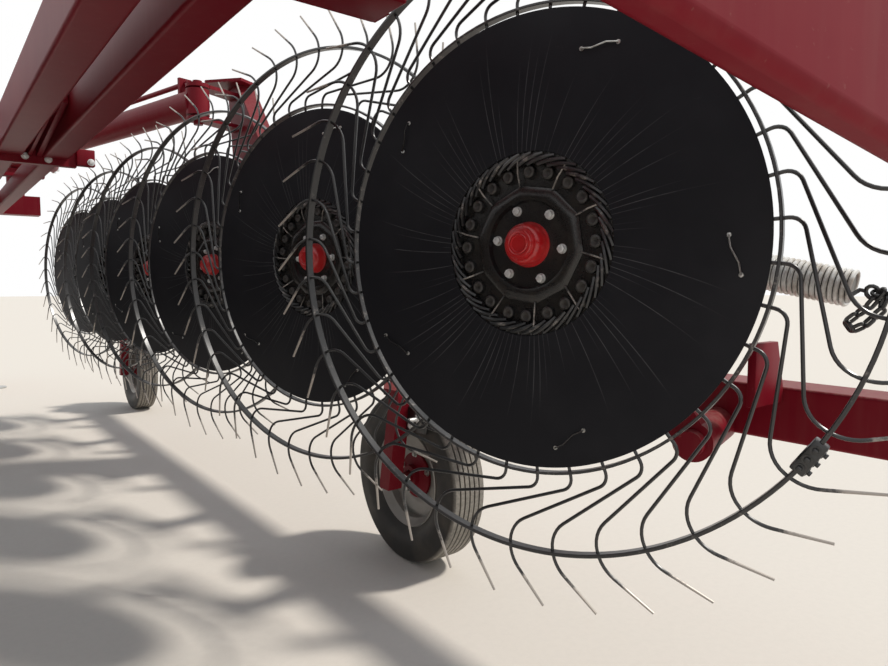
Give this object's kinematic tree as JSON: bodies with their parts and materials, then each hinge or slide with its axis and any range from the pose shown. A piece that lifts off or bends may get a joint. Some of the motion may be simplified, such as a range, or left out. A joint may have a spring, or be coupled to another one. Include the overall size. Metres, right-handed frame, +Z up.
{
  "type": "twelve-wheel V rake, trailed",
  "caption": "Trailed V rake with two banks of tined rake wheels under twin overhead beams, folded for transport.",
  "frame": {"origin": "on the ground, at the middle of the machine's length and width", "axes": "+X to the right, +Y forward towards the hitch, +Z up"},
  "size_m": [2.66, 9.1999, 2.266],
  "materials": {
    "red_paint": "glossy",
    "black_paint": "satin",
    "black_plastic": "matte",
    "zinc": "satin",
    "tyre": "matte",
    "chrome": "polished"
  },
  "bodies": {
    "root": {"rear_frame": "red_paint", "front_frame": "red_paint", "tongue": "red_paint", "jack_tube": "red_paint"},
    "jack": {"jack_leg": "zinc"},
    "arm_r": {"swing_arm_r": "red_paint"},
    "bank_r": {"toolbar_r": "red_paint", "lift_springs_r": "zinc"},
    "barrel_r": {"cylinder_barrel_r": "red_paint"},
    "rod_r": {"cylinder_rod_r": "chrome"},
    "crank_1_r": {"crank_arm_1_r": "red_paint"},
    "wheel_1_r": {"rake_wheel_1_r": "black_paint", "wind_panel_1_r": "black_plastic"},
    "crank_2_r": {"crank_arm_2_r": "red_paint"},
    "wheel_2_r": {"rake_wheel_2_r": "black_paint", "wind_panel_2_r": "black_plastic"},
    "crank_3_r": {"crank_arm_3_r": "red_paint"},
    "wheel_3_r": {"rake_wheel_3_r": "black_paint", "wind_panel_3_r": "black_plastic"},
    "crank_4_r": {"crank_arm_4_r": "red_paint"},
    "wheel_4_r": {"rake_wheel_4_r": "black_paint", "wind_panel_4_r": "black_plastic"},
    "crank_5_r": {"crank_arm_5_r": "red_paint"},
    "wheel_5_r": {"rake_wheel_5_r": "black_paint", "wind_panel_5_r": "black_plastic"},
    "crank_6_r": {"crank_arm_6_r": "red_paint"},
    "wheel_6_r": {"rake_wheel_6_r": "black_paint", "wind_panel_6_r": "black_plastic"},
    "caster_1_r": {"caster_leg_1_r": "red_paint"},
    "tyre_1_r": {"road_wheel_1_r": "tyre"},
    "caster_2_r": {"caster_leg_2_r": "red_paint"},
    "tyre_2_r": {"road_wheel_2_r": "tyre"},
    "arm_l": {"swing_arm_l": "red_paint"},
    "bank_l": {"toolbar_l": "red_paint", "lift_springs_l": "zinc"},
    "barrel_l": {"cylinder_barrel_l": "red_paint"},
    "rod_l": {"cylinder_rod_l": "chrome"},
    "crank_1_l": {"crank_arm_1_l": "red_paint"},
    "wheel_1_l": {"rake_wheel_1_l": "black_paint", "wind_panel_1_l": "black_plastic"},
    "crank_2_l": {"crank_arm_2_l": "red_paint"},
    "wheel_2_l": {"rake_wheel_2_l": "black_paint", "wind_panel_2_l": "black_plastic"},
    "crank_3_l": {"crank_arm_3_l": "red_paint"},
    "wheel_3_l": {"rake_wheel_3_l": "black_paint", "wind_panel_3_l": "black_plastic"},
    "crank_4_l": {"crank_arm_4_l": "red_paint"},
    "wheel_4_l": {"rake_wheel_4_l": "black_paint", "wind_panel_4_l": "black_plastic"},
    "crank_5_l": {"crank_arm_5_l": "red_paint"},
    "wheel_5_l": {"rake_wheel_5_l": "black_paint", "wind_panel_5_l": "black_plastic"},
    "crank_6_l": {"crank_arm_6_l": "red_paint"},
    "wheel_6_l": {"rake_wheel_6_l": "black_paint", "wind_panel_6_l": "black_plastic"},
    "caster_1_l": {"caster_leg_1_l": "red_paint"},
    "tyre_1_l": {"road_wheel_1_l": "tyre"},
    "caster_2_l": {"caster_leg_2_l": "red_paint"},
    "tyre_2_l": {"road_wheel_2_l": "tyre"}
  },
  "joints": [
    {"name": "arm_swing_r", "type": "hinge", "parent": "root", "child": "arm_r", "pos_m": [0.22, 2, 2.1], "axis": [0, 0, 1], "range_deg": [0, 45]},
    {"name": "bank_turn_r", "type": "hinge", "parent": "arm_r", "child": "bank_r", "pos_m": [0.85, -0.61, 2.1], "axis": [0, 0, -1], "range_deg": [0, 80]},
    {"name": "barrel_turn_r", "type": "hinge", "parent": "root", "child": "barrel_r", "pos_m": [0.19, 0.45, 1.945], "axis": [0, 0, -1], "range_deg": [0, 15.96]},
    {"name": "rod_slide_r", "type": "slide", "parent": "barrel_r", "child": "rod_r", "axis": [0.2434, 0.9699, 0], "range_m": [0, 0.49324]},
    {"name": "lift_1_r", "type": "hinge", "parent": "bank_r", "child": "crank_1_r", "pos_m": [0.97569, -3.61691, 0.74], "axis": [-0.9558, -0.294, 0], "range_deg": [0, 55]},
    {"name": "rake_spin_1_r", "type": "hinge", "parent": "crank_1_r", "child": "wheel_1_r", "pos_m": [0.6, -3.45, 1.18], "axis": [-0.9558, -0.294, 0], "continuous": true},
    {"name": "lift_2_r", "type": "hinge", "parent": "bank_r", "child": "crank_2_r", "pos_m": [0.97569, -2.64691, 0.74], "axis": [-0.9558, -0.294, 0], "range_deg": [0, 55]},
    {"name": "rake_spin_2_r", "type": "hinge", "parent": "crank_2_r", "child": "wheel_2_r", "pos_m": [0.6, -2.48, 1.18], "axis": [-0.9558, -0.294, 0], "continuous": true},
    {"name": "lift_3_r", "type": "hinge", "parent": "bank_r", "child": "crank_3_r", "pos_m": [0.97569, -1.67691, 0.74], "axis": [-0.9558, -0.294, 0], "range_deg": [0, 55]},
    {"name": "rake_spin_3_r", "type": "hinge", "parent": "crank_3_r", "child": "wheel_3_r", "pos_m": [0.6, -1.51, 1.18], "axis": [-0.9558, -0.294, 0], "continuous": true},
    {"name": "lift_4_r", "type": "hinge", "parent": "bank_r", "child": "crank_4_r", "pos_m": [0.97569, -0.70691, 0.74], "axis": [-0.9558, -0.294, 0], "range_deg": [0, 55]},
    {"name": "rake_spin_4_r", "type": "hinge", "parent": "crank_4_r", "child": "wheel_4_r", "pos_m": [0.6, -0.54, 1.18], "axis": [-0.9558, -0.294, 0], "continuous": true},
    {"name": "lift_5_r", "type": "hinge", "parent": "bank_r", "child": "crank_5_r", "pos_m": [0.97569, 0.26309, 0.74], "axis": [-0.9558, -0.294, 0], "range_deg": [0, 55]},
    {"name": "rake_spin_5_r", "type": "hinge", "parent": "crank_5_r", "child": "wheel_5_r", "pos_m": [0.6, 0.43, 1.18], "axis": [-0.9558, -0.294, 0], "continuous": true},
    {"name": "lift_6_r", "type": "hinge", "parent": "bank_r", "child": "crank_6_r", "pos_m": [0.97569, 1.23309, 0.74], "axis": [-0.9558, -0.294, 0], "range_deg": [0, 55]},
    {"name": "rake_spin_6_r", "type": "hinge", "parent": "crank_6_r", "child": "wheel_6_r", "pos_m": [0.6, 1.4, 1.18], "axis": [-0.9558, -0.294, 0], "continuous": true},
    {"name": "caster_turn_1_r", "type": "hinge", "parent": "bank_r", "child": "caster_1_r", "pos_m": [1.128, -2.19, 0.69], "axis": [0, 0, 1], "range_deg": [-10, 40]},
    {"name": "tyre_spin_1_r", "type": "hinge", "parent": "caster_1_r", "child": "tyre_1_r", "pos_m": [1.128, -2.31, 0.332], "axis": [1, 0, 0], "continuous": true},
    {"name": "caster_turn_2_r", "type": "hinge", "parent": "bank_r", "child": "caster_2_r", "pos_m": [1.062, 1.92, 0.69], "axis": [0, 0, 1], "range_deg": [-10, 40]},
    {"name": "tyre_spin_2_r", "type": "hinge", "parent": "caster_2_r", "child": "tyre_2_r", "pos_m": [1.062, 1.8, 0.332], "axis": [1, 0, 0], "continuous": true},
    {"name": "arm_swing_l", "type": "hinge", "parent": "root", "child": "arm_l", "pos_m": [-0.22, 2, 2.1], "axis": [0, 0, -1], "range_deg": [0, 45]},
    {"name": "bank_turn_l", "type": "hinge", "parent": "arm_l", "child": "bank_l", "pos_m": [-0.85, -0.61, 2.1], "axis": [0, 0, 1], "range_deg": [0, 80]},
    {"name": "barrel_turn_l", "type": "hinge", "parent": "root", "child": "barrel_l", "pos_m": [-0.19, 0.45, 1.945], "axis": [0, 0, 1], "range_deg": [0, 15.96]},
    {"name": "rod_slide_l", "type": "slide", "parent": "barrel_l", "child": "rod_l", "axis": [-0.2434, 0.9699, 0], "range_m": [0, 0.49324]},
    {"name": "lift_1_l", "type": "hinge", "parent": "bank_l", "child": "crank_1_l", "pos_m": [-0.97569, -3.61691, 0.74], "axis": [-0.9558, 0.294, 0], "range_deg": [0, 55]},
    {"name": "rake_spin_1_l", "type": "hinge", "parent": "crank_1_l", "child": "wheel_1_l", "pos_m": [-0.6, -3.45, 1.18], "axis": [-0.9558, 0.294, 0], "continuous": true},
    {"name": "lift_2_l", "type": "hinge", "parent": "bank_l", "child": "crank_2_l", "pos_m": [-0.97569, -2.64691, 0.74], "axis": [-0.9558, 0.294, 0], "range_deg": [0, 55]},
    {"name": "rake_spin_2_l", "type": "hinge", "parent": "crank_2_l", "child": "wheel_2_l", "pos_m": [-0.6, -2.48, 1.18], "axis": [-0.9558, 0.294, 0], "continuous": true},
    {"name": "lift_3_l", "type": "hinge", "parent": "bank_l", "child": "crank_3_l", "pos_m": [-0.97569, -1.67691, 0.74], "axis": [-0.9558, 0.294, 0], "range_deg": [0, 55]},
    {"name": "rake_spin_3_l", "type": "hinge", "parent": "crank_3_l", "child": "wheel_3_l", "pos_m": [-0.6, -1.51, 1.18], "axis": [-0.9558, 0.294, 0], "continuous": true},
    {"name": "lift_4_l", "type": "hinge", "parent": "bank_l", "child": "crank_4_l", "pos_m": [-0.97569, -0.70691, 0.74], "axis": [-0.9558, 0.294, 0], "range_deg": [0, 55]},
    {"name": "rake_spin_4_l", "type": "hinge", "parent": "crank_4_l", "child": "wheel_4_l", "pos_m": [-0.6, -0.54, 1.18], "axis": [-0.9558, 0.294, 0], "continuous": true},
    {"name": "lift_5_l", "type": "hinge", "parent": "bank_l", "child": "crank_5_l", "pos_m": [-0.97569, 0.26309, 0.74], "axis": [-0.9558, 0.294, 0], "range_deg": [0, 55]},
    {"name": "rake_spin_5_l", "type": "hinge", "parent": "crank_5_l", "child": "wheel_5_l", "pos_m": [-0.6, 0.43, 1.18], "axis": [-0.9558, 0.294, 0], "continuous": true},
    {"name": "lift_6_l", "type": "hinge", "parent": "bank_l", "child": "crank_6_l", "pos_m": [-0.97569, 1.23309, 0.74], "axis": [-0.9558, 0.294, 0], "range_deg": [0, 55]},
    {"name": "rake_spin_6_l", "type": "hinge", "parent": "crank_6_l", "child": "wheel_6_l", "pos_m": [-0.6, 1.4, 1.18], "axis": [-0.9558, 0.294, 0], "continuous": true},
    {"name": "caster_turn_1_l", "type": "hinge", "parent": "bank_l", "child": "caster_1_l", "pos_m": [-1.128, -2.19, 0.69], "axis": [0, 0, -1], "range_deg": [-10, 40]},
    {"name": "tyre_spin_1_l", "type": "hinge", "parent": "caster_1_l", "child": "tyre_1_l", "pos_m": [-1.128, -2.31, 0.332], "axis": [1, 0, 0], "continuous": true},
    {"name": "caster_turn_2_l", "type": "hinge", "parent": "bank_l", "child": "caster_2_l", "pos_m": [-1.062, 1.92, 0.69], "axis": [0, 0, -1], "range_deg": [-10, 40]},
    {"name": "tyre_spin_2_l", "type": "hinge", "parent": "caster_2_l", "child": "tyre_2_l", "pos_m": [-1.062, 1.8, 0.332], "axis": [1, 0, 0], "continuous": true},
    {"name": "jack_slide", "type": "slide", "parent": "root", "child": "jack", "axis": [0, 0, 1], "range_m": [0, 0.22]}
  ],
  "couplings": [
    {"joint": "bank_turn_r", "follows": "arm_swing_r", "ratio": 1.7778},
    {"joint": "barrel_turn_r", "follows": "arm_swing_r", "ratio": 0.35437},
    {"joint": "rod_slide_r", "follows": "arm_swing_r", "m_per_rad": 0.62674},
    {"joint": "lift_2_r", "follows": "lift_1_r", "ratio": 1},
    {"joint": "lift_3_r", "follows": "lift_1_r", "ratio": 1},
    {"joint": "lift_4_r", "follows": "lift_1_r", "ratio": 1},
    {"joint": "lift_5_r", "follows": "lift_1_r", "ratio": 1},
    {"joint": "lift_6_r", "follows": "lift_1_r", "ratio": 1},
    {"joint": "bank_turn_l", "follows": "arm_swing_l", "ratio": 1.7778},
    {"joint": "barrel_turn_l", "follows": "arm_swing_l", "ratio": 0.35437},
    {"joint": "rod_slide_l", "follows": "arm_swing_l", "m_per_rad": 0.62674},
    {"joint": "lift_2_l", "follows": "lift_1_l", "ratio": 1},
    {"joint": "lift_3_l", "follows": "lift_1_l", "ratio": 1},
    {"joint": "lift_4_l", "follows": "lift_1_l", "ratio": 1},
    {"joint": "lift_5_l", "follows": "lift_1_l", "ratio": 1},
    {"joint": "lift_6_l", "follows": "lift_1_l", "ratio": 1}
  ]
}
